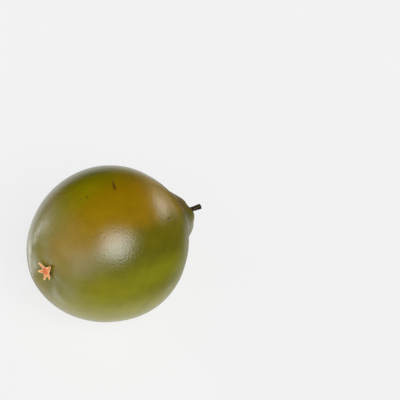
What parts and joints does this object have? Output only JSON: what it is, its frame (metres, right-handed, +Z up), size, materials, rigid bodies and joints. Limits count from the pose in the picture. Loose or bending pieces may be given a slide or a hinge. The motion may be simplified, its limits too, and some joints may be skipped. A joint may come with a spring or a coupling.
{
  "type": "quince",
  "caption": "Whole quince, as picked, lying on its side on a small flat spot, with a short woody stem and a dried star-shaped calyx.",
  "frame": {"origin": "middle of the small flat spot that the fruit rests on, below its centre of mass", "axes": "+Z up, +X towards the stem along the fruit's long axis seen from above, +Y to its left"},
  "size_m": [0.107, 0.0768, 0.0762],
  "materials": {
    "skin": "satin",
    "stem_wood": "matte",
    "sepal": "matte",
    "calyx_cup": "matte",
    "dried_threads": "matte"
  },
  "bodies": {
    "root": {"fruit": "skin", "stem": "stem_wood", "calyx_cup": "calyx_cup", "sepal_1": "sepal", "sepal_2": "sepal", "sepal_3": "sepal", "sepal_4": "sepal", "sepal_5": "sepal", "style_1": "dried_threads", "style_2": "dried_threads", "style_3": "dried_threads", "style_4": "dried_threads", "style_5": "dried_threads", "stamen_1": "dried_threads", "stamen_2": "dried_threads", "stamen_3": "dried_threads", "stamen_4": "dried_threads", "stamen_5": "dried_threads", "stamen_6": "dried_threads", "stamen_7": "dried_threads", "stamen_8": "dried_threads", "stamen_9": "dried_threads", "stamen_10": "dried_threads"}
  },
  "joints": []
}
